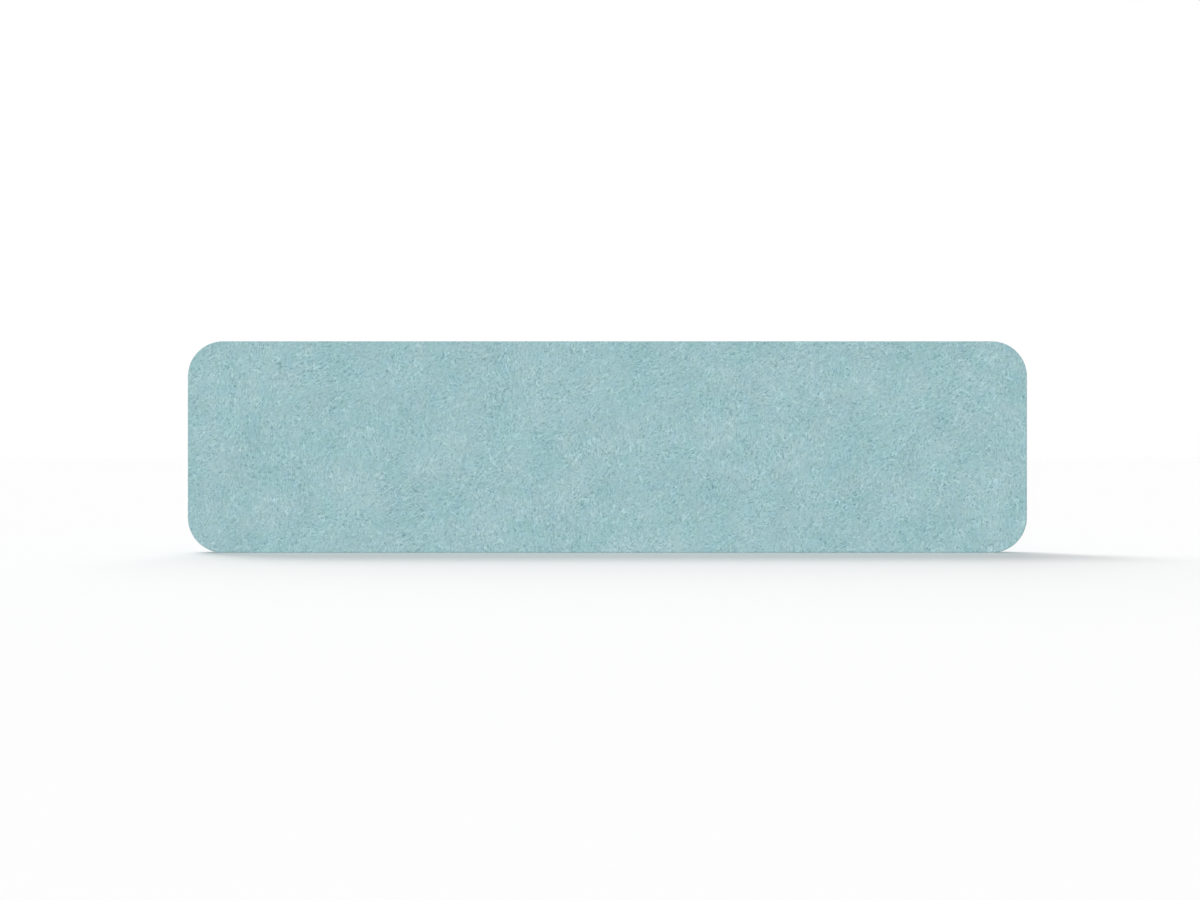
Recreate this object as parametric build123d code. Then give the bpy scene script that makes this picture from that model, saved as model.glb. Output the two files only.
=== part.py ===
from build123d import *
import os

# A low acoustic desk screen: a timber frame with sound-absorbing slabs in it,
# padded on both faces and covered in felt.
# Millimetres, +Z up. The origin is the middle of the footprint on the desk top,
# X runs along the screen, Y through it, and the front face looks along -Y.

# Overall form
screen_width = 1190.0
screen_height = 300.0
corner_radius = 50.0
face_edge_radius = 2.5

# Layers through the thickness, and the play between the cover and the frame's edge
felt_thickness = 2.0
wadding_thickness = 4.0
frame_thickness = 18.0
cover_clearance = 0.2

# Frame members
top_rail_height = 36.0
bottom_rail_height = 45.0
stile_width = 36.0
post_width = 36.0
corner_block_size = 64.0
bay_names = ["left", "middle", "right"]
post_names = ["left_post", "right_post"]

# Dowels, with the glue film round them and at each end
dowel_radius = 3.0
dowel_length = 30.0
dowel_chamfer = 0.6
dowel_pitch = 14.0
glue_film = 0.1
glue_end_space = 1.0

# Baffle boards, held in grooves along the inner edges of the frame
baffle_thickness = 3.0
groove_depth = 6.0
groove_clearance = 0.1
baffle_end_clearance = 0.5

# Absorber slabs, one on each side of every baffle board
absorber_clearance = 0.3

# Felt turned under the bottom rail
flap_end_clearance = 1.0
flap_inner_edge = 2.0
notch_clearance = 0.5

# Finishing strip that hides the turned felt and its staples
strip_width = 13.0
strip_thickness = 2.0
strip_recess = 0.5
strip_side_clearance = 0.5
strip_end_clearance = 6.0
strip_edge_chamfer = 0.4
insert_access_radius = 3.5

# Staples that hold the turned felt
staple_crown = 9.0
staple_leg = 8.0
staple_wire_width = 0.9
staple_wire_depth = 0.7
staple_offset = 4.5
staple_pitch = 38.0
staple_end_margin = 12.0
staple_keep_away = 4.0

# Countersunk screws of the finishing strip
screw_radius = 1.5
screw_head_radius = 2.9
screw_head_height = 1.6
screw_length = 16.0
screw_point_height = 2.5
screw_recess_span = 3.0
screw_recess_width = 0.7
screw_recess_depth = 1.0
screw_clearance = 0.05
screw_point_space = 1.0
middle_screw_count = 3
screw_end_margin = 12.0

# M6 threaded inserts, in two pairs that a desk bracket bolts to
insert_radius = 5.0
insert_bore_radius = 2.5
insert_length = 13.0
insert_lead_in = 0.5
insert_hole_clearance = 0.05
insert_end_space = 2.0
insert_pair_spacing = 64.0
bracket_inset = 195.0

# Worked out from the sizes above
half_frame = frame_thickness / 2
half_wadding = half_frame + wadding_thickness
half_thickness = half_wadding + felt_thickness
frame_inset = felt_thickness + cover_clearance
frame_end = screen_width / 2 - frame_inset
frame_bottom = frame_inset
frame_top = screen_height - frame_inset
opening_bottom = frame_bottom + bottom_rail_height
opening_top = frame_top - top_rail_height
opening_end = frame_end - stile_width
rail_end = frame_end - corner_block_size
bay_count = len(bay_names)
bay_width = (2 * opening_end - (bay_count - 1) * post_width) / bay_count
post_step = bay_width + post_width
flap_bottom = strip_recess + strip_thickness
rail_bottom = flap_bottom + felt_thickness
flap_end = rail_end - flap_end_clearance
riser_inner = strip_width / 2 + strip_side_clearance
riser_outer = riser_inner + felt_thickness
strip_end = flap_end - strip_end_clearance
bracket_middle = screen_width / 2 - bracket_inset
groove_half_width = baffle_thickness / 2 + groove_clearance


def span_box(x_range, y_range, z_range):
    """A box given by where it starts and ends along each axis"""
    sizes = [max(span) - min(span) for span in (x_range, y_range, z_range)]
    middles = [(max(span) + min(span)) / 2 for span in (x_range, y_range, z_range)]
    return Pos(*middles) * Box(*sizes)


def outline_slab(inset, y_front, y_back):
    """The screen's rounded outline, drawn in all round, as a slab between two depths"""
    outline = RectangleRounded(
        screen_width - 2 * inset,
        screen_height - 2 * inset,
        corner_radius - inset,
    )
    placed = Plane.XZ.offset(-y_back) * Pos(0, screen_height / 2) * outline
    return extrude(placed, amount=y_back - y_front)


def upright_cylinder(x, z_low, z_high, radius):
    """A cylinder that stands on the middle plane of the screen"""
    height = z_high - z_low
    return Pos(x, 0, z_low + height / 2) * Cylinder(radius, height)


def insert_places():
    """Where the threaded inserts stand along the bottom rail"""
    pair_middles = [-bracket_middle, bracket_middle]
    half_pair = insert_pair_spacing / 2
    return [middle + side * half_pair for middle in pair_middles for side in (-1, 1)]


def screw_places():
    """Strip screws near both ends, between the inserts of each pair, and evenly between pairs"""
    reach = strip_end - screw_end_margin
    step = 2 * bracket_middle / (middle_screw_count + 1)
    inner = [-bracket_middle + index * step for index in range(middle_screw_count + 2)]
    return [-reach] + inner + [reach]


def staple_places():
    """Evenly spaced staples, leaving out those that would meet an insert"""
    reach = flap_end - staple_end_margin
    count = int(2 * reach / staple_pitch) + 1
    step = 2 * reach / (count - 1)
    keep_away = staple_crown / 2 + insert_radius + staple_keep_away
    places = [-reach + index * step for index in range(count)]
    return [x for x in places if all(abs(x - other) > keep_away for other in insert_places())]


def staple():
    """One staple: a flat crown with two square legs that point up"""
    half_crown = staple_crown / 2
    half_wire = staple_wire_width / 2
    top = flap_bottom + staple_leg
    whole = span_box((-half_crown, half_crown), (-half_wire, half_wire), (flap_bottom, top))
    inside_half = half_crown - staple_wire_depth
    inside_bottom = flap_bottom + staple_wire_depth
    inside = span_box((-inside_half, inside_half), (-half_wire, half_wire), (inside_bottom, top))
    return whole - inside


def staples():
    """Two rows of staples, one through each turned edge of felt into the bottom rail"""
    one = staple()
    rows = (-staple_offset, staple_offset)
    return [Pos(x, y, 0) * one for y in rows for x in staple_places()]


def front_cover():
    """Front half of the felt cover, from the middle seam round the edge to the face"""
    outer = outline_slab(0, -half_thickness, 0)
    face_edges = outer.faces().sort_by(Axis.Y)[0].edges()
    outer = fillet(face_edges, face_edge_radius)
    inner = outline_slab(felt_thickness, -half_wadding, 0)
    shell = outer - inner

    flap_span = (-flap_end, flap_end)
    open_underside = span_box(flap_span, (-riser_outer, 0), (0, felt_thickness))
    riser = span_box(flap_span, (-riser_outer, -riser_inner), (0, rail_bottom))
    flap = span_box(flap_span, (-riser_inner, -flap_inner_edge), (flap_bottom, rail_bottom))
    notch_radius = insert_radius + notch_clearance
    notches = [
        upright_cylinder(x, flap_bottom, rail_bottom, notch_radius) for x in insert_places()
    ]
    turned = (riser + flap) - notches
    return (shell - open_underside) + turned - staples()


def rear_cover():
    """Rear half of the felt cover, the front half's mirror image"""
    return mirror(front_cover(), about=Plane.XZ)


def front_wadding():
    """Thin soft layer between the frame and the felt of the front face"""
    return outline_slab(frame_inset, -half_wadding, -half_frame)


def rear_wadding():
    """Thin soft layer between the frame and the felt of the rear face"""
    return outline_slab(frame_inset, half_frame, half_wadding)


def dowel_places():
    """Middle and direction of every dowel: two in each butt joint of the frame"""
    half_pitch = dowel_pitch / 2
    top_web = (opening_top + groove_depth + frame_top) / 2
    bottom_web = (rail_bottom + opening_bottom - groove_depth) / 2
    stile_web = (opening_end + groove_depth + frame_end) / 2
    block_edges = (frame_bottom + corner_block_size, frame_top - corner_block_size)
    places = []
    for side in (-1, 1):
        for step in (-half_pitch, half_pitch):
            for web in (top_web, bottom_web):
                places.append((Pos(side * rail_end, 0, web + step), Axis.X))
            for edge in block_edges:
                places.append((Pos(side * (stile_web + step), 0, edge), Axis.Z))
    for x in post_places():
        for step in (-half_pitch, half_pitch):
            for edge in (opening_bottom, opening_top):
                places.append((Pos(x + step, 0, edge), Axis.Z))
    return places


def along(axis, solid):
    """Turn an upright solid so that it lies along the given axis"""
    if axis == Axis.X:
        return Rot(Y=90) * solid
    return solid


def frame_dowels():
    """Beech dowels with chamfered ends, glued across the joints of the frame"""
    pin = Cylinder(dowel_radius, dowel_length)
    pin = chamfer(pin.edges().filter_by(GeomType.CIRCLE), dowel_chamfer)
    return [place * along(axis, pin) for place, axis in dowel_places()]


def dowel_holes():
    """Drilled holes that leave room for glue round each dowel and at its ends"""
    hole = Cylinder(dowel_radius + glue_film, dowel_length + 2 * glue_end_space)
    return [place * along(axis, hole) for place, axis in dowel_places()]


def post_places():
    """Middles of the posts, which part the frame into equal bays"""
    first = -(bay_count - 2) * post_step / 2
    return [first + index * post_step for index in range(bay_count - 1)]


def bay_range(index):
    """Where one bay of the frame starts and ends along the screen"""
    start = -opening_end + index * post_step
    return start, start + bay_width


def grown(span, amount):
    """A range made longer by the same amount at both ends"""
    return span[0] - amount, span[1] + amount


def block_ranges(side, end):
    """Footprint of one corner block: side is -1 or 1 for left or right, end for low or high"""
    x_range = sorted((side * rail_end, side * frame_end))
    if end < 0:
        return x_range, (frame_bottom, frame_bottom + corner_block_size)
    return x_range, (frame_top - corner_block_size, frame_top)


def corner_block(side, end):
    """Square block that joins a rail to a stile, sawn round at the screen's corner"""
    x_range, z_range = block_ranges(side, end)
    square = span_box(x_range, (-half_frame, half_frame), z_range)
    rounded = square & outline_slab(frame_inset, -half_frame, half_frame)
    return rounded - dowel_holes()


def rail_groove(z_range):
    """Groove for the baffle boards along a rail"""
    y_range = (-groove_half_width, groove_half_width)
    return span_box((-rail_end, rail_end), y_range, z_range)


def side_groove(x_range):
    """Groove for a baffle board along a stile or a post"""
    y_range = (-groove_half_width, groove_half_width)
    return span_box(x_range, y_range, (frame_bottom, frame_top))


def top_rail():
    """Top member of the frame, grooved underneath"""
    y_range = (-half_frame, half_frame)
    rail = span_box((-rail_end, rail_end), y_range, (opening_top, frame_top))
    groove = rail_groove((opening_top, opening_top + groove_depth))
    return rail - [groove] - dowel_holes()


def bottom_rail():
    """Bottom member of the frame, drilled for the inserts, the screws and the staples"""
    y_range = (-half_frame, half_frame)
    rail = span_box((-rail_end, rail_end), y_range, (rail_bottom, opening_bottom))
    groove = rail_groove((opening_bottom - groove_depth, opening_bottom))
    insert_hole_radius = insert_radius + insert_hole_clearance
    insert_hole_top = rail_bottom + insert_length + insert_end_space
    insert_holes = [
        upright_cylinder(x, rail_bottom, insert_hole_top, insert_hole_radius)
        for x in insert_places()
    ]
    pilot_radius = screw_radius + screw_clearance
    pilot_top = strip_recess + screw_length + screw_point_space
    pilots = [
        upright_cylinder(x, rail_bottom, pilot_top, pilot_radius) for x in screw_places()
    ]
    return rail - [groove] - dowel_holes() - insert_holes - pilots - staples()


def stile(side):
    """Upright end member of the frame, between two corner blocks"""
    x_range = sorted((side * opening_end, side * frame_end))
    z_range = (frame_bottom + corner_block_size, frame_top - corner_block_size)
    upright = span_box(x_range, (-half_frame, half_frame), z_range)
    groove = side_groove(sorted((side * opening_end, side * (opening_end + groove_depth))))
    return upright - [groove] - dowel_holes()


def post(x):
    """Upright between the rails, grooved on both sides"""
    x_range = (x - post_width / 2, x + post_width / 2)
    upright = span_box(x_range, (-half_frame, half_frame), (opening_bottom, opening_top))
    left_groove = side_groove((x_range[0], x_range[0] + groove_depth))
    right_groove = side_groove((x_range[1] - groove_depth, x_range[1]))
    return upright - [left_groove, right_groove] - dowel_holes()


def bay_slab(index, reach, gap, y_range):
    """A slab that fills a bay, reaching past or short of its edges, cut round the blocks"""
    z_range = grown((opening_bottom, opening_top), reach)
    slab = span_box(grown(bay_range(index), reach), y_range, z_range)
    for side in (-1, 1):
        for end in (-1, 1):
            block_x, block_z = block_ranges(side, end)
            slab = slab - span_box(grown(block_x, gap), y_range, grown(block_z, gap))
    return slab


def baffle(index):
    """Thin board in the grooves round one bay, which stops sound passing through"""
    y_range = (-baffle_thickness / 2, baffle_thickness / 2)
    reach = groove_depth - baffle_end_clearance
    return bay_slab(index, reach, baffle_end_clearance, y_range)


def absorber(index, side):
    """Soft slab on the board's front (side -1) or rear (side 1), clear of the wadding"""
    inner = side * baffle_thickness / 2
    outer = side * (half_frame - absorber_clearance)
    y_range = sorted((inner, outer))
    return bay_slab(index, -absorber_clearance, absorber_clearance, y_range)


def bottom_strip():
    """Round-ended strip between the turned edges of felt, holed for screws and bolts"""
    outline = Pos(0, 0, strip_recess) * SlotOverall(2 * strip_end, strip_width)
    strip = extrude(outline, amount=strip_thickness)
    strip = chamfer(strip.faces().sort_by(Axis.Z)[0].edges(), strip_edge_chamfer)
    access = [
        upright_cylinder(x, strip_recess, flap_bottom, insert_access_radius)
        for x in insert_places()
    ]
    return strip - access - [screw_hole(x) for x in screw_places()]


def head_cone(x, growth):
    """Countersunk head of a strip screw, or the seat that it sinks into"""
    middle = strip_recess + screw_head_height / 2
    cone = Cone(screw_head_radius + growth, screw_radius + growth, screw_head_height)
    return Pos(x, 0, middle) * cone


def screw_hole(x):
    """Countersunk hole through the finishing strip"""
    shank = upright_cylinder(x, strip_recess, flap_bottom, screw_radius + screw_clearance)
    return head_cone(x, screw_clearance) + shank


def strip_screw(x):
    """Countersunk screw with a cross recess and a pointed end"""
    point_start = strip_recess + screw_length - screw_point_height
    shank = upright_cylinder(x, strip_recess, point_start, screw_radius)
    point_middle = point_start + screw_point_height / 2
    point = Pos(x, 0, point_middle) * Cone(screw_radius, 0, screw_point_height)
    half_span = screw_recess_span / 2
    half_width = screw_recess_width / 2
    depth = (strip_recess, strip_recess + screw_recess_depth)
    along_x = span_box((x - half_span, x + half_span), (-half_width, half_width), depth)
    along_y = span_box((x - half_width, x + half_width), (-half_span, half_span), depth)
    return head_cone(x, 0) + shank + point - [along_x, along_y]


def strip_screws():
    """The screws that hold the finishing strip"""
    return [strip_screw(x) for x in screw_places()]


def threaded_insert(x):
    """Metal sleeve screwed into the bottom rail, flush with its underside"""
    top = rail_bottom + insert_length
    sleeve = upright_cylinder(x, rail_bottom, top, insert_radius)
    bore = upright_cylinder(x, rail_bottom, top, insert_bore_radius)
    sleeve = chamfer(sleeve.edges().filter_by(GeomType.CIRCLE).sort_by(Axis.Z)[-1], insert_lead_in)
    return sleeve - bore


def threaded_inserts():
    """Two pairs of inserts, one pair for each desk bracket"""
    return [threaded_insert(x) for x in insert_places()]


def named_pieces():
    """Every separate piece or group of like fasteners, by name"""
    pieces = {
        "front_cover": front_cover(),
        "rear_cover": rear_cover(),
        "front_wadding": front_wadding(),
        "rear_wadding": rear_wadding(),
        "top_rail": top_rail(),
        "bottom_rail": bottom_rail(),
        "left_stile": stile(-1),
        "right_stile": stile(1),
        "bottom_left_corner_block": corner_block(-1, -1),
        "bottom_right_corner_block": corner_block(1, -1),
        "top_left_corner_block": corner_block(-1, 1),
        "top_right_corner_block": corner_block(1, 1),
    }
    for name, x in zip(post_names, post_places()):
        pieces[name] = post(x)
    for index, name in enumerate(bay_names):
        pieces[name + "_baffle"] = baffle(index)
        pieces[name + "_front_absorber"] = absorber(index, -1)
        pieces[name + "_rear_absorber"] = absorber(index, 1)
    pieces["frame_dowels"] = Compound(children=frame_dowels())
    pieces["staples"] = Compound(children=staples())
    pieces["bottom_strip"] = bottom_strip()
    pieces["strip_screws"] = Compound(children=strip_screws())
    pieces["threaded_inserts"] = Compound(children=threaded_inserts())
    return pieces


os.makedirs("parts", exist_ok=True)
for piece_name, piece in named_pieces().items():
    export_step(piece, "parts/" + piece_name + ".step")
    print(piece_name, round(piece.volume), "mm3")
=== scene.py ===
import math

import bmesh
import bpy
from mathutils import Matrix, Vector, noise


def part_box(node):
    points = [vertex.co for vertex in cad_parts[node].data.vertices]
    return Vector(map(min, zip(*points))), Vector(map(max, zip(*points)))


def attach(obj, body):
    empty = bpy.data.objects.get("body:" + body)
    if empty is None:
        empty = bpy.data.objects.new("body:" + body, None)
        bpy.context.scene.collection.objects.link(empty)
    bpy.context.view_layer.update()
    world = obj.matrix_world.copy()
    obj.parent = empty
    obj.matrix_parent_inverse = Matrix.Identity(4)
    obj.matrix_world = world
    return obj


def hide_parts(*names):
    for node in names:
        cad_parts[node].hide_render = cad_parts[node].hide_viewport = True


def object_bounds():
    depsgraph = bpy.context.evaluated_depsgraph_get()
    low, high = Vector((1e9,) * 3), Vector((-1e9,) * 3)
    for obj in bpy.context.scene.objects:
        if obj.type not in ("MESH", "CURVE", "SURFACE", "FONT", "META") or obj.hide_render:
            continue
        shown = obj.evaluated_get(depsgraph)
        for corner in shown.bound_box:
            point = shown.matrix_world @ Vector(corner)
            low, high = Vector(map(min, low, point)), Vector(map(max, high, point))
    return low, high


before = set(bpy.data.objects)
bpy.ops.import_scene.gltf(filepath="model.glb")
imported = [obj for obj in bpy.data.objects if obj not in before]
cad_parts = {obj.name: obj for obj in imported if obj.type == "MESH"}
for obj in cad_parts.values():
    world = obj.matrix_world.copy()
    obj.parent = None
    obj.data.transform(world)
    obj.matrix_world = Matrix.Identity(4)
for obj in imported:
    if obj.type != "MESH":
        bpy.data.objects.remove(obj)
cad_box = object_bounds()

# RAILS, STILES AND POSTS
# The frame is planed spruce, 18 mm thick: two rails, two stiles and two posts, cut to length and butted
# together over dowels. It stays bare under the padding, as the planer left it.


def linear(colour):
    """The linear colour of an sRGB hex value, as a node's socket takes it."""
    parts = [int(colour[i:i + 2], 16) / 255 for i in (1, 3, 5)]
    return [p / 12.92 if p <= 0.04045 else ((p + 0.055) / 1.055) ** 2.4 for p in parts] + [1.0]


def add(tree, kind, inputs, **settings):
    """Adds a node with its settings. An input is a value, or the node or output that it is linked from.

    A colour Mix takes its two colours at 6 and 7 and gives the mixed one at output 2.
    """
    made = tree.nodes.new("ShaderNode" + kind)
    for name, value in settings.items():
        setattr(made, name, value)
    for socket, value in inputs.items():
        if isinstance(value, bpy.types.Node):
            value = value.outputs[0]
        if isinstance(value, bpy.types.NodeSocket):
            tree.links.new(value, made.inputs[socket])
        else:
            made.inputs[socket].default_value = value
    return made


def finish(name, even, make):
    """A material: the shader's even values by socket, and what make(tree, coordinates) gives for others."""
    made = bpy.data.materials.new(name)
    made.use_nodes = True
    tree = made.node_tree
    shader = tree.nodes["Principled BSDF"]
    for socket, value in even.items():
        shader.inputs[socket].default_value = value
    for socket, output in make(tree, add(tree, "TexCoord", {}).outputs["Object"]).items():
        tree.links.new(output, shader.inputs[socket])
    return made


def dress(material, *nodes):
    """Gives CAD nodes, whose shapes stay, their finished material."""
    for node in nodes:
        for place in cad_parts[node].material_slots:
            place.material = material


def wavy(tree, place, size, reach):
    """Coordinates bent to and fro, so that what is drawn with them curls."""
    bend = add(tree, "TexNoise", {"Vector": place, "Scale": 1 / size, "Detail": 1.0})
    return add(tree, "VectorMath", {0: bend.outputs["Color"], 1: (reach, reach, reach), 2: place},
               operation="MULTIPLY_ADD")


def spruce(along):
    """Planed spruce whose grain runs along an axis: pale early wood, darker late wood, no gloss."""
    ring = 0.0026
    stretch = {"X": (0.06, 1, 1), "Z": (1, 1, 0.06)}[along]
    strands = {"X": (0.09, 0.0007, 0.0007), "Z": (0.0007, 0.0007, 0.09)}[along]

    def make(tree, place):
        # The pith lies outside the board, so its faces show long lines and its ends show arcs. Good and
        # bad summers make the lines wider apart here than there.
        log = add(tree, "Mapping", {"Vector": place, "Location": (0.071, 0.058, 0.071), "Scale": stretch})
        grown = wavy(tree, log, 0.016, 0.009)
        # A Wave Texture repeats after pi / 10 over its scale.
        rings = add(tree, "TexWave", {"Vector": grown, "Scale": math.pi / 10 / ring},
                    wave_type="RINGS", rings_direction=along, wave_profile="SAW")
        fibre_place = add(tree, "Mapping", {"Vector": place, "Scale": strands}, vector_type="TEXTURE")
        fibre = add(tree, "TexNoise", {"Vector": fibre_place, "Scale": 1.0, "Detail": 2.0})
        late = add(tree, "Math", {0: rings.outputs["Fac"], 1: 3.0}, operation="POWER")
        wood = add(tree, "Mix", {0: late, 6: linear("#E9D3AB"), 7: linear("#CDA26D")}, data_type="RGBA")
        streak = add(tree, "MapRange", {0: fibre, 1: 0.3, 2: 0.7, 3: 0.0, 4: 0.35})
        colour = add(tree, "Mix", {0: streak, 6: wood.outputs[2], 7: linear("#BF9562")}, data_type="RGBA")
        rough = add(tree, "MapRange", {0: fibre, 1: 0.3, 2: 0.7, 3: 0.5, 4: 0.68})
        bump = add(tree, "Bump", {"Height": fibre, "Strength": 0.35, "Distance": 0.0002})
        return {"Base Color": colour.outputs[2], "Roughness": rough.outputs[0], "Normal": bump.outputs[0]}

    return finish("planed spruce along " + along, {"IOR": 1.53}, make)


dress(spruce("X"), "top_rail", "bottom_rail")
dress(spruce("Z"), "left_stile", "right_stile", "left_post", "right_post")

# CORNER BLOCKS
# Each corner is a block of 18 mm birch plywood, bandsawn round and sanded. Rails and stiles butt against
# it, and its cut edges show the plies as light and dark lines.


def plywood(tree, place):
    """Birch plywood: 13 plies over 18 mm, so each is 1.4 mm thick."""
    ply = 0.018 / 13
    layers = add(tree, "TexWave", {"Vector": place, "Scale": math.pi / 10 / (2 * ply), "Distortion": 0.5,
                                   "Detail Scale": 0.1, "Phase Offset": math.pi / 2},
                 wave_type="BANDS", bands_direction="Y")
    dark_ply = add(tree, "MapRange", {0: layers.outputs["Fac"], 1: 0.35, 2: 0.65})
    veneer_place = add(tree, "Mapping", {"Vector": place, "Scale": (0.05, 0.0012, 0.0012)},
                       vector_type="TEXTURE")
    veneer = add(tree, "TexNoise", {"Vector": veneer_place, "Scale": 1.0, "Detail": 3.0, "Distortion": 0.4})
    face = add(tree, "Mix", {0: veneer, 6: linear("#E3CBA3"), 7: linear("#CFAE7E")}, data_type="RGBA")
    tone = add(tree, "Math", {0: dark_ply, 1: 0.55}, operation="MULTIPLY")
    colour = add(tree, "Mix", {0: tone, 6: face.outputs[2], 7: linear("#A97F52")}, data_type="RGBA")
    bump = add(tree, "Bump", {"Height": layers.outputs["Fac"], "Strength": 0.25, "Distance": 0.0002})
    return {"Base Color": colour.outputs[2], "Normal": bump.outputs[0]}


# Sanded birch plywood is matt and pale, and its glued inner plies are browner than its faces.
dress(finish("sanded birch plywood", {"Roughness": 0.58, "IOR": 1.53}, plywood),
      "bottom_left_corner_block", "bottom_right_corner_block", "top_left_corner_block",
      "top_right_corner_block")

# DOWELS
# Two beech dowels, 6 mm thick and 30 mm long, are glued into each butt joint. They were turned from a rod
# and are pale pink-brown with short dark flecks.


def beech(tree, place):
    """Beech: a fine even grain with flecks about 3 mm long."""
    fleck_place = add(tree, "Mapping", {"Vector": place, "Scale": (0.003, 0.0005, 0.003)},
                      vector_type="TEXTURE")
    fleck = add(tree, "TexNoise", {"Vector": fleck_place, "Scale": 1.0, "Detail": 1.0})
    dark = add(tree, "MapRange", {0: fleck, 1: 0.5, 2: 0.75})
    colour = add(tree, "Mix", {0: dark, 6: linear("#DDBB93"), 7: linear("#AD7F57")}, data_type="RGBA")
    bump = add(tree, "Bump", {"Height": fleck, "Strength": 0.2, "Distance": 0.0001})
    return {"Base Color": colour.outputs[2], "Normal": bump.outputs[0]}


dress(finish("turned beech", {"Roughness": 0.5, "IOR": 1.53}, beech), "frame_dowels")

# BAFFLE BOARDS
# A 3 mm hardboard sits in the grooves of each bay, so that no sound passes straight through. It is wood
# fibre pressed wet to a hard brown sheet, smooth and slightly glossy.


def hardboard(tree, place):
    """Hardboard: a matted brown of fibres about 5 mm long, with darker bark specks."""
    matted = add(tree, "TexNoise", {"Vector": place, "Scale": 1 / 0.005, "Detail": 4.0, "Distortion": 1.5})
    speck = add(tree, "TexNoise", {"Vector": place, "Scale": 1 / 0.002, "Detail": 0.0})
    fibre = add(tree, "MapRange", {0: matted, 1: 0.3, 2: 0.7})
    wood = add(tree, "Mix", {0: fibre.outputs[0], 6: linear("#9C704A"), 7: linear("#7E5535")},
               data_type="RGBA")
    bark = add(tree, "MapRange", {0: speck, 1: 0.66, 2: 0.78, 4: 0.7})
    colour = add(tree, "Mix", {0: bark.outputs[0], 6: wood.outputs[2], 7: linear("#55361F")},
                 data_type="RGBA")
    rough = add(tree, "MapRange", {0: matted, 1: 0.3, 2: 0.7, 3: 0.36, 4: 0.5})
    bump = add(tree, "Bump", {"Height": matted, "Strength": 0.15, "Distance": 0.0002})
    return {"Base Color": colour.outputs[2], "Roughness": rough.outputs[0], "Normal": bump.outputs[0]}


dress(finish("pressed hardboard", {"IOR": 1.5}, hardboard), "left_baffle", "middle_baffle", "right_baffle")

# ABSORBER SLABS
# A slab of recycled polyester fibre lies on each side of every board. It is cut with a knife to fill the
# bay, so its edges are soft, and its mixed fibres make a light grey with dark and blue flecks.


def crossed(tree, place, length, width):
    """Fibres that lie three ways over each other: 1 along the middle of a fibre, 0 between them."""
    fibres = None
    for number, angle in enumerate((80, 20, 140)):
        along = add(tree, "Mapping", {"Vector": place, "Location": (0.1 * number, 0.01 * number, 0),
                                      "Rotation": (0, -math.radians(angle), 0),
                                      "Scale": (length, width, width)}, vector_type="TEXTURE")
        heap = add(tree, "TexNoise", {"Vector": along, "Scale": 1.0, "Detail": 0.0})
        fold = add(tree, "Math", {0: heap, 1: 0.5}, operation="PINGPONG")
        fibre = add(tree, "MapRange", {0: fold, 1: 0.4, 2: 0.5})
        fibres = fibre if fibres is None else add(tree, "Math", {0: fibres, 1: fibre}, operation="MAXIMUM")
    return fibres


def grey_fibre(tree, place):
    """Needled waste fibre: a mat of grey threads in tufts of 9 mm, and long dark blue threads among them."""
    curled = wavy(tree, place, 0.015, 0.006)
    thread = crossed(tree, curled, 0.008, 0.0013)
    tuft = add(tree, "TexNoise", {"Vector": place, "Scale": 1 / 0.009, "Detail": 2.0})
    pale = add(tree, "Math", {0: thread, 1: 0.5, 2: tuft}, operation="MULTIPLY_ADD")
    light = add(tree, "MapRange", {0: pale, 1: 0.3, 2: 1.1})
    grey = add(tree, "Mix", {0: light, 6: linear("#85898A"), 7: linear("#D2D3CF")}, data_type="RGBA")
    other_place = add(tree, "Mapping", {"Vector": curled, "Location": (0.4, 0.1, 0.3)})
    blue_thread = crossed(tree, other_place, 0.03, 0.006)
    line = add(tree, "MapRange", {0: blue_thread, 1: 0.75, 2: 0.95})
    rare = add(tree, "TexNoise", {"Vector": other_place, "Scale": 1 / 0.016, "Detail": 0.0})
    risen = add(tree, "MapRange", {0: rare, 1: 0.52, 2: 0.6, 4: 0.85})
    blue = add(tree, "Math", {0: line, 1: risen}, operation="MULTIPLY")
    mixed = add(tree, "Mix", {0: blue, 6: grey.outputs[2], 7: linear("#3F4C5C")}, data_type="RGBA")
    bump = add(tree, "Bump", {"Height": pale, "Strength": 0.8, "Distance": 0.0006})
    return {"Base Color": mixed.outputs[2], "Normal": bump.outputs[0]}


def piece(name, shape, material, slot, *nodes):
    """The finished bmesh as an object that rides on the screen and stands for the nodes named."""
    for face in shape.faces:
        face.smooth = True
    mesh = bpy.data.meshes.new(name)
    shape.to_mesh(mesh)
    shape.free()
    mesh.materials.append(material)
    made = bpy.data.objects.new(name, mesh)
    bpy.context.scene.collection.objects.link(made)
    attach(made, "root")
    if nodes:
        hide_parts(*nodes)
    return made


# Nearer than a thousandth of a millimetre counts as the same place.
same_place = 1e-6


def cut(shape, faces, axis, places):
    """Cuts faces across an axis at each place, and leaves all parts there."""
    normal = Vector([float(name == axis) for name in "xyz"])
    for place in places:
        parts = dict.fromkeys(part for face in faces if face.is_valid
                              for part in (face, *face.edges, *face.verts))
        made = bmesh.ops.bisect_plane(shape, geom=list(parts), dist=same_place, plane_co=normal * place,
                                      plane_no=normal)
        faces = [part for part in made["geom"] if isinstance(part, bmesh.types.BMFace)]
    return faces


def steps(low, high, size):
    """The places between low and high that part it into equal lengths of about a size."""
    count = max(1, round((high - low) / size))
    return [low + (high - low) * i / count for i in range(1, count)]


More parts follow.
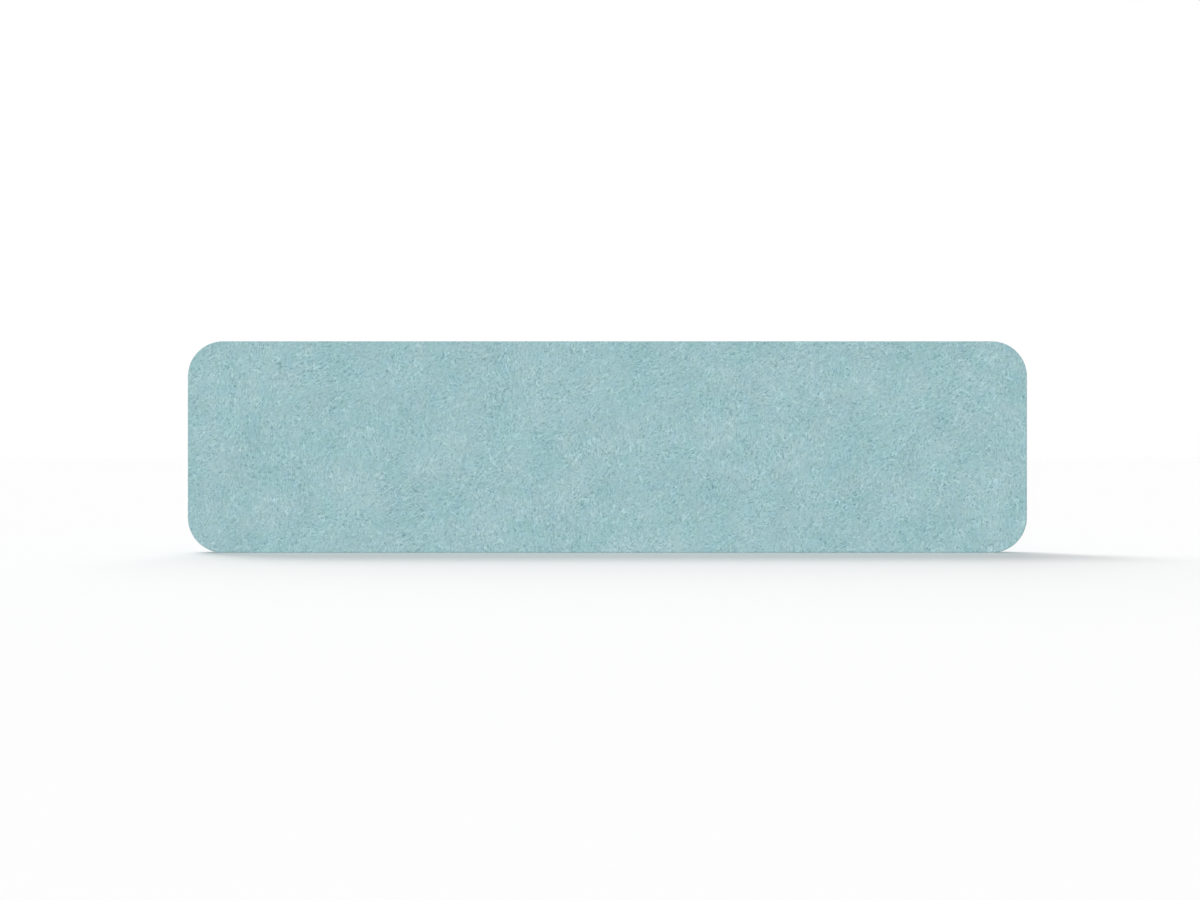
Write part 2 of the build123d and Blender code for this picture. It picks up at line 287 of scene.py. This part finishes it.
def soften(shape, low, high, mesh, rise, swells_a_metre, own_noise):
    """Cuts a soft slab into a mesh, and lets its two broad faces rise and fall.

    They do so inwards, so that the slab stays in the place of its solid.
    """
    cut(shape, shape.faces[:], "x", steps(low.x, high.x, mesh))
    cut(shape, shape.faces[:], "z", steps(low.z, high.z, mesh))
    middle = (low.y + high.y) / 2
    for vert in shape.verts:
        depth = rise * (1 + noise.noise(vert.co * swells_a_metre + own_noise))
        if min(vert.co.y - low.y, high.y - vert.co.y) < same_place:
            vert.co.y += depth if vert.co.y < middle else -depth


slab_fibre = finish("needled grey fibre", {"Roughness": 0.95, "Sheen Weight": 0.3}, grey_fibre)
slab_edge = 0.0012
slab_rise = 0.0002
slab_gap = 0.0003
slab_mesh = 0.012
slab_swells_a_metre = 45
slab_noise_step = 900
lower_block_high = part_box("bottom_left_corner_block")[1]
upper_block_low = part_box("top_left_corner_block")[0]
for bay in ("left", "middle", "right"):
    for side in ("front", "rear"):
        node = bay + "_" + side + "_absorber"
        low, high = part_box(node)
        size, middle = high - low, (low + high) / 2
        shape = bmesh.new()
        flat = Matrix.Translation((middle.x, low.y, middle.z)) @ Matrix.Diagonal((size.x, 1, size.z, 1))
        bmesh.ops.create_grid(shape, x_segments=1, y_segments=1, size=0.5,
                              matrix=flat @ Matrix.Rotation(math.pi / 2, 4, "X"))
        # The outer bays lose the corners that the corner blocks fill.
        notch_x = abs(lower_block_high.x) - slab_gap
        notch_z = (lower_block_high.z + slab_gap, upper_block_low.z - slab_gap)
        cut(shape, shape.faces[:], "x", [-notch_x, notch_x])
        cut(shape, shape.faces[:], "z", notch_z)
        lost = [face for face in shape.faces if abs(face.calc_center_median().x) > notch_x
                and not notch_z[0] < face.calc_center_median().z < notch_z[1]]
        bmesh.ops.delete(shape, geom=lost, context="FACES")
        grown = bmesh.ops.extrude_face_region(shape, geom=shape.faces[:])["geom"]
        bmesh.ops.translate(shape, vec=(0, size.y, 0),
                            verts=[part for part in grown if isinstance(part, bmesh.types.BMVert)])
        bmesh.ops.recalc_face_normals(shape, faces=shape.faces[:])
        sharp = [edge for edge in shape.edges if edge.calc_face_angle(0) > 1]
        bmesh.ops.bevel(shape, geom=sharp, offset=slab_edge, segments=2, profile=0.5, affect="EDGES",
                        material=-1, clamp_overlap=True)
        # Each slab takes its swells from another place in the noise.
        own_noise = Vector((0, middle.y * slab_noise_step, 0))
        soften(shape, low, high, slab_mesh, slab_rise, slab_swells_a_metre, own_noise)
        made = piece(node + "_slab", shape, slab_fibre, "absorber", node)

# THREADED INSERTS
# Four M6 sleeves are screwed into the bottom rail, two for each desk bracket. They are cast in zinc, with a
# coarse thread outside that bites the wood and a metric one inside for the bracket's bolt.


def cast_zinc(tree, place):
    """Die-cast zinc: a dull grey skin, clouded over a few millimetres."""
    cloud = add(tree, "TexNoise", {"Vector": place, "Scale": 1 / 0.004, "Detail": 3.0})
    colour = add(tree, "Mix", {0: cloud, 6: linear("#A9ADB0"), 7: linear("#C6C9CB")}, data_type="RGBA")
    rough = add(tree, "MapRange", {0: cloud, 1: 0.3, 2: 0.7, 3: 0.34, 4: 0.52})
    bump = add(tree, "Bump", {"Height": cloud, "Strength": 0.15, "Distance": 0.0002})
    return {"Base Color": colour.outputs[2], "Roughness": rough.outputs[0], "Normal": bump.outputs[0]}


insert_low, insert_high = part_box("threaded_inserts")
insert_radius = insert_high.y
bracket_place = 0.4
bolt_apart = 0.064
insert_spots = [side * (bracket_place + bolt_apart * share) for side in (-1, 1) for share in (-0.5, 0.5)]
bore_radius = 0.0025
bolt_pitch = 0.001
bolt_depth = 0.0005
wood_pitch = 0.003
wood_depth = 0.0008
wall_middle = (insert_radius + bore_radius) / 2
rows_a_turn = 6
shape = bmesh.new()
for spot in insert_spots:
    # One wall of the sleeve, cut into rows for each turn of the bolt's thread, is spun round its axis.
    corners = [shape.verts.new((spot + radius, 0, height)) for radius, height in
               ((bore_radius, insert_low.z), (insert_radius, insert_low.z),
                (insert_radius, insert_high.z), (bore_radius, insert_high.z))]
    wall = shape.faces.new(corners)
    rows = cut(shape, [wall], "z", steps(insert_low.z, insert_high.z, bolt_pitch / rows_a_turn))
    rim = dict.fromkeys(edge for face in rows for edge in face.edges if len(edge.link_faces) == 1)
    bmesh.ops.delete(shape, geom=rows, context="FACES_ONLY")
    inner_rungs = [edge for edge in shape.edges if not edge.link_faces and edge not in rim]
    bmesh.ops.delete(shape, geom=inner_rungs, context="EDGES")
    line = [*rim, *dict.fromkeys(vert for edge in rim for vert in edge.verts)]
    bmesh.ops.spin(shape, geom=line, cent=(spot, 0, 0), axis=(0, 0, 1), angle=2 * math.pi, steps=28,
                   use_merge=True)
for vert in shape.verts:
    spot = min(insert_spots, key=lambda x: abs(x - vert.co.x))
    out = Vector((vert.co.x - spot, vert.co.y, 0))
    turn = math.atan2(out.y, out.x) / (2 * math.pi)
    height = vert.co.z - insert_low.z
    if out.length < wall_middle:
        # The thread's ridges stand in from its root, and the mouth is opened for the bolt.
        ridge = abs((height / bolt_pitch - turn) % 1 - 0.5) * 2
        radius = max(bore_radius + bolt_depth * (1 - ridge), bore_radius + bolt_depth - height)
    else:
        ridge = abs((height / wood_pitch - turn) % 1 - 0.5) * 2
        radius = insert_radius - wood_depth * (1 - ridge ** 2)
    vert.co = Vector((spot, 0, vert.co.z)) + out.normalized() * radius
bmesh.ops.recalc_face_normals(shape, faces=shape.faces[:])
piece("insert_sleeves", shape, finish("die-cast zinc", {"Metallic": 1.0}, cast_zinc), "zinc_insert",
      "threaded_inserts")

# WADDING
# A 4 mm layer of bonded polyester wadding covers each side of the frame, glued at the rim. It keeps the
# felt soft to the touch and hides the joints, and it is white, lofty and slightly see-through at its edge.


def wadding(tree, place):
    """Carded polyester: fine white fibres that lie every way, in a loft that swells over 8 mm."""
    wisp = crossed(tree, wavy(tree, place, 0.03, 0.02), 0.012, 0.001)
    loft = add(tree, "TexNoise", {"Vector": place, "Scale": 1 / 0.008, "Detail": 2.0})
    height = add(tree, "Math", {0: wisp, 1: 0.4, 2: loft}, operation="MULTIPLY_ADD")
    pale = add(tree, "MapRange", {0: height, 1: 0.3, 2: 1.0})
    colour = add(tree, "Mix", {0: pale, 6: linear("#CFD2D2"), 7: linear("#F3F4F2")}, data_type="RGBA")
    bump = add(tree, "Bump", {"Height": height, "Strength": 0.7, "Distance": 0.0008})
    return {"Base Color": colour.outputs[2], "Normal": bump.outputs[0]}


white_wadding = finish("bonded polyester wadding", {"Roughness": 0.95, "Sheen Weight": 0.4}, wadding)
screen_corner = 0.05
wadding_roll = 0.0015
wadding_rise = 0.00025
wadding_mesh = 0.012
wadding_swells_a_metre = 50


def rounded_slab(low, high, corner):
    """A closed upright slab between two corners, with its four corners rounded."""
    shape = bmesh.new()
    size = high - low
    bmesh.ops.create_cube(shape, size=1, matrix=Matrix.Translation((low + high) / 2)
                          @ Matrix.Diagonal((size.x, size.y, size.z, 1)))
    across = [edge for edge in shape.edges if abs(edge.verts[0].co.y - edge.verts[1].co.y) > size.y / 2]
    bmesh.ops.bevel(shape, geom=across, offset=corner, segments=16, profile=0.5, affect="EDGES",
                    material=-1, clamp_overlap=True)
    return shape


for side in ("front", "rear"):
    low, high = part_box(side + "_wadding")
    shape = rounded_slab(low, high, screen_corner - (low.x - cad_box[0].x))
    rims = [edge for edge in shape.edges if abs(edge.verts[0].co.y - edge.verts[1].co.y) < same_place]
    bmesh.ops.bevel(shape, geom=rims, offset=wadding_roll, segments=3, profile=0.5, affect="EDGES",
                    material=-1, clamp_overlap=True)
    soften(shape, low, high, wadding_mesh, wadding_rise, wadding_swells_a_metre, Vector((0, 0, 0)))
    made = piece(side + "_wadding_layer", shape, white_wadding, "wadding", side + "_wadding")

# FELT COVERS
# Each cover is one piece of 2 mm wool felt, pulled over its side of the screen. The two meet along the
# middle of the edge, where they are sewn, and below they are turned up and stapled to the bottom rail.


def felt(tree, place):
    """Pressed wool felt: fine strands, combed one way here and another there, under short loose hairs."""
    curled = wavy(tree, place, 0.014, 0.005)
    # Carding lays the fibre upright in one place and slanting in the next, about 110 mm on. The strands
    # are 7 by 2 mm and the hairs curl over 18 by 6 mm.
    lay = add(tree, "TexNoise", {"Vector": place, "Scale": 1 / 0.11, "Detail": 1.0})
    strands = hairs = None
    for angle, start in ((85, 0.0), (60, 0.42), (30, 0.5)):
        along = add(tree, "Mapping", {"Vector": curled, "Rotation": (0, -math.radians(angle), 0),
                                      "Scale": (0.018, 0.006, 0.006)}, vector_type="TEXTURE")
        strand = add(tree, "TexNoise", {"Vector": along, "Scale": 2.7, "Detail": 0.0})
        hair = add(tree, "TexNoise", {"Vector": along, "Scale": 1.0, "Detail": 0.0})
        share = add(tree, "MapRange", {0: lay, 1: start, 2: start + 0.08}, interpolation_type="SMOOTHSTEP")
        strands = strand if strands is None else add(tree, "Mix", {0: share, 2: strands, 3: strand})
        hairs = hair if hairs is None else add(tree, "Mix", {0: share, 2: hairs, 3: hair})
    matted = add(tree, "TexNoise", {"Vector": curled, "Scale": 1 / 0.0026, "Detail": 0.0})
    grain = add(tree, "MapRange", {0: matted, 3: -0.71, 4: -0.29}, clamp=False)
    tone = add(tree, "Math", {0: strands, 1: 1.0, 2: grain}, operation="MULTIPLY_ADD")
    # The single fibres lie all ways over each other. They are drawn 0.1 mm thick, three times as thick as
    # wool, so that they can be seen from close by.
    fibres = crossed(tree, curled, 0.003, 0.0005)
    nap = add(tree, "MapRange", {0: fibres, 3: -0.37, 4: 0.37})
    tone = add(tree, "Math", {0: tone, 1: nap}, operation="ADD")
    # A hair is a thin pale line; its darker flanks are painted shade. Short lengths of it come up out of the
    # mat.
    tangle = add(tree, "TexNoise", {"Vector": curled, "Scale": 1 / 0.009, "Detail": 0.0})
    for number, (source, lift) in enumerate(((hairs, 1.05), (tangle, 0.95))):
        frayed = add(tree, "Math", {0: fibres, 1: 0.06, 2: source}, operation="MULTIPLY_ADD")
        fold = add(tree, "Math", {0: frayed, 1: 0.53}, operation="PINGPONG")
        hair = add(tree, "MapRange", {0: fold, 1: 0.465, 2: 0.53}, interpolation_type="SMOOTHSTEP")
        # The flank darkens the colour on both sides of the hair: painted shade.
        painted_flank_shade = add(tree, "MapRange", {0: fold, 1: 0.374, 2: 0.53}, interpolation_type="SMOOTHSTEP")
        line = add(tree, "Math", {0: painted_flank_shade, 1: -0.42, 2: hair}, operation="MULTIPLY_ADD")
        other_place = add(tree, "Mapping", {"Vector": place, "Location": (1, 0, 0.31 * number)})
        part = add(tree, "TexNoise", {"Vector": other_place, "Scale": 1 / 0.014, "Detail": 0.0})
        risen = add(tree, "MapRange", {0: part, 1: 0.38, 2: 0.5, 4: lift}, interpolation_type="SMOOTHSTEP")
        tone = add(tree, "Math", {0: line, 1: risen, 2: tone}, operation="MULTIPLY_ADD")
    # Small dark pits lie between the tufts: their darkness is painted shade.
    pit_shade_spot = add(tree, "TexNoise", {"Vector": place, "Scale": 1 / 0.0035, "Detail": 0.0})
    depth = add(tree, "MapRange", {0: pit_shade_spot, 1: 0.6, 2: 0.75, 4: -0.52}, interpolation_type="SMOOTHSTEP")
    tone = add(tree, "Math", {0: tone, 1: depth}, operation="ADD")
    # The pattern is stronger in some spots than in others, and slow clouds lie over all of it.
    spot = add(tree, "TexNoise", {"Vector": place, "Scale": 1 / 0.025, "Detail": 1.0})
    gain = add(tree, "MapRange", {0: spot, 1: 0.25, 2: 0.75, 3: 0.61, 4: 1.27})
    cloud = add(tree, "TexNoise", {"Vector": place, "Scale": 1 / 0.065, "Detail": 3.0, "Roughness": 0.6})
    ground = add(tree, "MapRange", {0: cloud, 3: 0.1, 4: 0.8}, clamp=False)
    level = add(tree, "Math", {0: tone, 1: gain, 2: ground}, operation="MULTIPLY_ADD")
    blue = add(tree, "Mix", {0: level, 6: linear("#8FB5BA"), 7: linear("#B0D4D8")}, data_type="RGBA",
               clamp_factor=False)
    # The dye took unevenly: patches, the paler ones above all, turn a little to red or away from it, and
    # others to blue or green.
    redness = add(tree, "TexNoise", {"Vector": place, "Scale": 1 / 0.03, "Detail": 2.0, "Roughness": 0.7})
    washed = add(tree, "Math", {0: cloud, 1: 0.4, 2: redness}, operation="MULTIPLY_ADD")
    redder = add(tree, "MapRange", {0: washed, 1: 0.45, 2: 0.95})
    warm = add(tree, "Mix", {0: redder, 6: (0.94, 1, 1, 1), 7: (1.06, 1, 1, 1)}, data_type="RGBA")
    blueness = add(tree, "TexNoise", {"Vector": place, "Scale": 1 / 0.017, "Detail": 2.0, "Roughness": 0.7})
    bluer = add(tree, "MapRange", {0: blueness, 1: 0.25, 2: 0.75})
    cool = add(tree, "Mix", {0: bluer, 6: (1.017, 1.01, 0.966, 1), 7: (0.983, 0.99, 1.034, 1)},
               data_type="RGBA")
    hue = add(tree, "Mix", {0: 1.0, 6: warm.outputs[2], 7: cool.outputs[2]}, data_type="RGBA",
              blend_type="MULTIPLY")
    colour = add(tree, "Mix", {0: 1.0, 6: blue.outputs[2], 7: hue.outputs[2]}, data_type="RGBA",
                 blend_type="MULTIPLY")
    bump = add(tree, "Bump", {"Height": tone, "Strength": 0.55, "Distance": 0.0003})
    return {"Base Color": colour.outputs[2], "Normal": bump.outputs[0]}


wool_felt = finish("pressed wool felt", {"Roughness": 0.95, "Sheen Weight": 0.15, "Sheen Roughness": 0.5},
                   felt)
felt_thickness = 0.002
half_depth = 0.015
face_edge = 0.0025
face_rim = 0.0012
seam_edge = 0.0005
opening_end = 0.5278
turn_in = 0.007
turn_up = 0.0025
flap_end = 0.002
insert_room = 0.0055
face_rise = 0.0002
flat_border = 0.006
rise_reach = 0.03
face_swells_a_metre = 11
cover_mesh = 0.01
outer_row = 0.0113
inner_rows = (0.0045, 0.0016)
clear_room = insert_room + 0.003
notch_shares = (-1, -0.8, -0.45, 0, 0.45, 0.8, 1)


def underneath(shape, outer, inner):
    """The faces under the screen, along its opening, that lie between two distances from the seam."""
    found = []
    for face in shape.faces:
        middle = face.calc_center_median()
        if middle.z < same_place and -outer < middle.y < -inner and abs(middle.x) < opening_end:
            found.append(face)
    return found


def cover_shape():
    """The outer surface of the front cover, open along the seam and under the bottom rail."""
    shape = rounded_slab(cad_box[0], Vector((cad_box[1].x, 0, cad_box[1].z)), screen_corner)
    on_face = same_place - half_depth
    front = [edge for edge in shape.edges if all(vert.co.y < on_face for vert in edge.verts)]
    bmesh.ops.bevel(shape, geom=front, offset=face_edge, segments=4, profile=0.5, affect="EDGES",
                    material=-1, clamp_overlap=True)
    shape.faces.ensure_lookup_table()
    face = [f for f in shape.faces if f.calc_center_median().y < on_face]
    bmesh.ops.inset_region(shape, faces=face, thickness=face_rim, use_even_offset=True)
    low, high = cad_box
    left, right = low.x + screen_corner, high.x - screen_corner
    bottom, top = low.z + screen_corner, high.z - screen_corner
    # At the corners only the face is cut small, because a cut across the edge's arcs leaves slivers.
    face = cut(shape, face, "x", [*steps(low.x, left, cover_mesh), left, right,
                                  *steps(right, high.x, cover_mesh)])
    cut(shape, face, "z", [*steps(low.z, bottom, cover_mesh), bottom, top, *steps(top, high.z, cover_mesh)])
    back = [f for f in shape.faces if f.calc_center_median().y > -same_place]
    bmesh.ops.delete(shape, geom=back, context="FACES_ONLY")
    cut(shape, shape.faces[:], "y", [-outer_row, -turn_in, *(-row for row in inner_rows)])
    cut(shape, shape.faces[:], "x", [-opening_end, opening_end])
    bmesh.ops.delete(shape, geom=underneath(shape, turn_in, 0), context="FACES")
    # The straight stretches are cut right across, but under the inserts only where their notches need it.
    clear_of_inserts = [place for place in steps(left, right, cover_mesh)
                        if min(abs(place - spot) for spot in insert_spots) > clear_room]
    cut(shape, shape.faces[:], "x", clear_of_inserts)
    cut(shape, shape.faces[:], "z", steps(bottom, top, cover_mesh))
    around = [place + insert_room * share for place in insert_spots for share in notch_shares]
    cut(shape, underneath(shape, outer_row, turn_in), "x", around)
    edge = [e for e in shape.edges
            if e.is_boundary and all(abs(v.co.y + turn_in) < same_place for v in e.verts)]
    for move in ((0, 0, turn_up), (0, turn_in - flap_end, 0)):
        grown = bmesh.ops.extrude_edge_only(shape, edges=edge)["geom"]
        bmesh.ops.translate(shape, vec=move, verts=[part for part in grown
                                                    if isinstance(part, bmesh.types.BMVert)])
        edge = [part for part in grown if isinstance(part, bmesh.types.BMEdge)]
    # The turned edge is cut back round each insert.
    for vert in {vert for e in edge for vert in e.verts}:
        gap = min(abs(vert.co.x - place) for place in insert_spots)
        if gap < insert_room:
            vert.co.y = -max(flap_end, math.sqrt(insert_room ** 2 - gap ** 2))
    bmesh.ops.recalc_face_normals(shape, faces=shape.faces[:])
    return shape


for side, way in (("front", 1), ("rear", -1)):
    shape = cover_shape()
    for vert in shape.verts:
        border = min(cad_box[1].x - abs(vert.co.x), vert.co.z, cad_box[1].z - vert.co.z) - flat_border
        if vert.co.y < same_place - half_depth and border > 0:
            swell = Vector((vert.co.x * face_swells_a_metre, way, vert.co.z * face_swells_a_metre))
            vert.co.y += face_rise * min(1, border / rise_reach) * (1 + noise.noise(swell))
    if way < 0:
        bmesh.ops.scale(shape, vec=(1, -1, 1), verts=shape.verts[:])
        bmesh.ops.reverse_faces(shape, faces=shape.faces[:])
    cover = piece(side + "_cover_felt", shape, wool_felt, "felt", side + "_cover")
    thick = cover.modifiers.new("felt thickness", "SOLIDIFY")
    thick.thickness = felt_thickness
    thick.offset = -1
    thick.use_even_offset = True
    worn = cover.modifiers.new("soft cut edge", "BEVEL")
    worn.width = seam_edge
    worn.segments = 3
    worn.limit_method = "ANGLE"
    worn.angle_limit = math.radians(85)

# STAPLES
# The turned edges of the felt are held by 48 staples of flat galvanised wire, shot through the felt into
# the bottom rail. Their crowns press into the felt.


def galvanised(tree, place):
    """Galvanised wire: bright zinc with faint lines along the wire from drawing it."""
    along = add(tree, "Mapping", {"Vector": place, "Scale": (0.006, 0.0002, 0.0002)}, vector_type="TEXTURE")
    line = add(tree, "TexNoise", {"Vector": along, "Scale": 1.0, "Detail": 1.0})
    colour = add(tree, "Mix", {0: line, 6: linear("#B4B9BC"), 7: linear("#D2D5D7")}, data_type="RGBA")
    rough = add(tree, "MapRange", {0: line, 1: 0.3, 2: 0.7, 3: 0.24, 4: 0.4})
    bump = add(tree, "Bump", {"Height": line, "Strength": 0.15, "Distance": 0.0001})
    return {"Base Color": colour.outputs[2], "Roughness": rough.outputs[0], "Normal": bump.outputs[0]}


dress(finish("galvanised steel wire", {"Metallic": 1.0}, galvanised), "staples")

# SEAM
# The two covers are whip-stitched together all round, edge to edge, in a matching polyester thread. Each
# stitch crosses the joint and sinks a little into the felt.


def thread_twist(tree, place):
    """Sewing thread: two plies twisted once in 1.2 mm, a little glossier and darker than the felt."""
    twist = add(tree, "TexWave", {"Vector": place, "Scale": math.pi / 10 / 0.0006, "Distortion": 0.4},
                wave_type="BANDS", bands_direction="DIAGONAL")
    colour = add(tree, "Mix", {0: twist.outputs["Fac"], 6: linear("#7A9FA4"), 7: linear("#93B8BC")},
                 data_type="RGBA")
    bump = add(tree, "Bump", {"Height": twist.outputs["Fac"], "Strength": 0.3, "Distance": 0.0001})
    return {"Base Color": colour.outputs[2], "Normal": bump.outputs[0]}


stitch_step = 0.004
stitch_size = (0.0007, 0.0026, 0.0006)
stitch_slant = math.radians(24)
stitch_sink = 0.0002
side_run = cad_box[1].z - 2 * screen_corner
top_run = cad_box[1].x - cad_box[0].x - 2 * screen_corner
end_run = cad_box[1].x - screen_corner - opening_end
corner_run = screen_corner * math.pi / 2
shape = bmesh.new()
bmesh.ops.create_uvsphere(shape, u_segments=8, v_segments=5, radius=0.5,
                          matrix=Matrix.Rotation(stitch_slant, 4, "Z") @ Matrix.Diagonal((*stitch_size, 1)))
stitch = bpy.data.meshes.new("stitch")
shape.to_mesh(stitch)
shape.clear()
spot = Vector((opening_end, 0, 0))
heading = 0.0
rest = stitch_step / 2
for length, bends in ((end_run, False), (corner_run, True), (side_run, False), (corner_run, True),
                      (top_run, False), (corner_run, True), (side_run, False), (corner_run, True),
                      (end_run, False)):
    # The seam is walked from its right end, and each stitch lies across the way it goes there.
    while rest < length:
        turn = rest / screen_corner if bends else 0.0
        sunk_corner = screen_corner - stitch_sink
        ahead = sunk_corner * math.sin(turn) if bends else rest
        inward = screen_corner - sunk_corner * math.cos(turn)
        here = spot + Matrix.Rotation(-heading, 3, "Y") @ Vector((ahead, 0, inward))
        sewn = stitch.copy()
        sewn.transform(Matrix.Translation(here) @ Matrix.Rotation(-heading - turn, 4, "Y"))
        shape.from_mesh(sewn)
        bpy.data.meshes.remove(sewn)
        rest += stitch_step
    rest -= length
    step = Vector((screen_corner, 0, screen_corner)) if bends else Vector((length, 0, 0))
    spot += Matrix.Rotation(-heading, 3, "Y") @ step
    heading += math.pi / 2 if bends else 0.0
bpy.data.meshes.remove(stitch)
piece("seam_stitches", shape, finish("polyester sewing thread", {"Roughness": 0.6, "Sheen Weight": 0.2},
                                     thread_twist), "felt")

# FINISHING STRIP
# A strip of dark grey polypropylene, 13 by 2 mm with rounded ends, covers the staples and the felt's cut
# edges. It is extruded, cut to length and drilled, and stands half a millimetre clear of the ground.


def extruded(tree, place):
    """Extruded polypropylene: matt, with fine lines along it from the die and a faint grain."""
    along = add(tree, "Mapping", {"Vector": place, "Scale": (0.15, 0.0005, 0.0005)}, vector_type="TEXTURE")
    line = add(tree, "TexNoise", {"Vector": along, "Scale": 1.0, "Detail": 2.0})
    grain = add(tree, "TexNoise", {"Vector": place, "Scale": 1 / 0.0008, "Detail": 1.0})
    colour = add(tree, "Mix", {0: line, 6: linear("#3B4043"), 7: linear("#4A5053")}, data_type="RGBA")
    rough = add(tree, "MapRange", {0: line, 1: 0.3, 2: 0.7, 3: 0.42, 4: 0.58})
    height = add(tree, "Math", {0: grain, 1: 0.4, 2: line}, operation="MULTIPLY_ADD")
    bump = add(tree, "Bump", {"Height": height, "Strength": 0.2, "Distance": 0.0001})
    return {"Base Color": colour.outputs[2], "Roughness": rough.outputs[0], "Normal": bump.outputs[0]}


dress(finish("extruded polypropylene", {"IOR": 1.49}, extruded), "bottom_strip")

# STRIP SCREWS
# Seven countersunk wood screws with a cross recess hold the strip. They are steel, cold headed and zinc
# plated, with a bluish shine.


def plated(tree, place):
    """Zinc plating: bright and slightly blue, with a fine mottle from the bath."""
    mottle = add(tree, "TexNoise", {"Vector": place, "Scale": 1 / 0.0015, "Detail": 2.0})
    colour = add(tree, "Mix", {0: mottle, 6: linear("#B9C0C6"), 7: linear("#D3D8DC")}, data_type="RGBA")
    rough = add(tree, "MapRange", {0: mottle, 1: 0.3, 2: 0.7, 3: 0.2, 4: 0.34})
    bump = add(tree, "Bump", {"Height": mottle, "Strength": 0.1, "Distance": 0.0001})
    return {"Base Color": colour.outputs[2], "Roughness": rough.outputs[0], "Normal": bump.outputs[0]}


dress(finish("zinc-plated steel", {"Metallic": 1.0}, plated), "strip_screws")

# STUDIO
# The screen stands on a white ground in a white room, whose even light also comes up from below. A wide
# lamp, high behind it on the left, throws the pale shadow that runs forward and to the right.


def looked_at(tree):
    """1 for what the camera, a reflection or glass looks at, and 0 for what lights the screen."""
    ray = add(tree, "LightPath", {})
    seen = add(tree, "Math", {0: ray.outputs["Is Camera Ray"], 1: ray.outputs["Is Glossy Ray"]},
               operation="MAXIMUM")
    return add(tree, "Math", {0: seen, 1: ray.outputs["Is Transmission Ray"]}, operation="MAXIMUM")


# Matt white paint. The room's light passes it, so that the screen is as bright below as above, and from
# underneath it can be looked through. A reflection leaves out what lies nearer to it than 20 mm, which is
# the dark ground right under the screen.
dark_reach = 0.02
floor_paint = bpy.data.materials.new("matt white floor")
floor_paint.use_nodes = True
tree = floor_paint.node_tree
paint = tree.nodes["Principled BSDF"]
paint.inputs["Base Color"].default_value = linear("#FDFDFD")
paint.inputs["Roughness"].default_value = 1.0
paint.inputs["Specular IOR Level"].default_value = 0.0
clear = add(tree, "BsdfTransparent", {})
facing = add(tree, "NewGeometry", {})
above = add(tree, "Math", {0: looked_at(tree), 1: facing.outputs["Backfacing"]}, operation="SUBTRACT",
            use_clamp=True)
ray = add(tree, "LightPath", {})
away = add(tree, "Math", {0: ray.outputs["Ray Length"], 1: dark_reach}, operation="GREATER_THAN")
shown = add(tree, "Math", {0: above, 1: away}, operation="MULTIPLY")
ground = add(tree, "MixShader", {0: shown, 1: clear, 2: paint})
tree.links.new(ground.outputs[0], tree.nodes["Material Output"].inputs["Surface"])

floor_reach = 30
floor_drop = 0.00005
floor_shape = bmesh.new()
bmesh.ops.create_grid(floor_shape, x_segments=1, y_segments=1, size=floor_reach,
                      matrix=Matrix.Translation((0, 0, -floor_drop)))
floor_mesh = bpy.data.meshes.new("floor")
floor_shape.to_mesh(floor_mesh)
floor_shape.free()
floor_mesh.materials.append(floor_paint)
floor = bpy.data.objects.new("floor", floor_mesh)
bpy.context.scene.collection.objects.link(floor)

room_light = 0.521
world = bpy.data.worlds.new("white room")
bpy.context.scene.world = world
world.use_nodes = True
tree = world.node_tree
strength = add(tree, "MapRange", {0: looked_at(tree), 3: room_light, 4: 1.0})
tree.links.new(strength.outputs[0], tree.nodes["Background"].inputs["Strength"])
tree.nodes["Background"].inputs["Color"].default_value = (1, 1, 1, 1)

# Each lamp: how bright it makes a white wall that faces it, the angle that it fills, the way to it from
# straight behind the screen towards its left end, and its height, in degrees.
lamps = {"key": (0.222, 22, 42, 54), "back": (0.447, 75, 22, 32), "front": (0.485, 20, 174, 8)}
for name, (power, spread, way, height) in lamps.items():
    lamp = bpy.data.lights.new(name, "SUN")
    lamp.energy = power * math.pi
    lamp.angle = math.radians(spread)
    holder = bpy.data.objects.new(name, lamp)
    toward = Vector((0, 1, 0))
    toward.rotate(Matrix.Rotation(math.radians(height), 3, "X"))
    toward.rotate(Matrix.Rotation(math.radians(way), 3, "Z"))
    holder.rotation_euler = toward.to_track_quat("Z", "Y").to_euler()
    bpy.context.scene.collection.objects.link(holder)

camera = bpy.data.cameras.new("camera")
camera.lens = 50
camera.sensor_width = 36
camera.clip_end = 100
viewer = bpy.data.objects.new("camera", camera)
viewer.location = (-0.01049, -2.3765, 0.14575)
viewer.rotation_euler = (math.radians(90), 0, 0)
bpy.context.scene.collection.objects.link(viewer)
bpy.context.scene.camera = viewer
bpy.context.scene.view_settings.view_transform = "Standard"
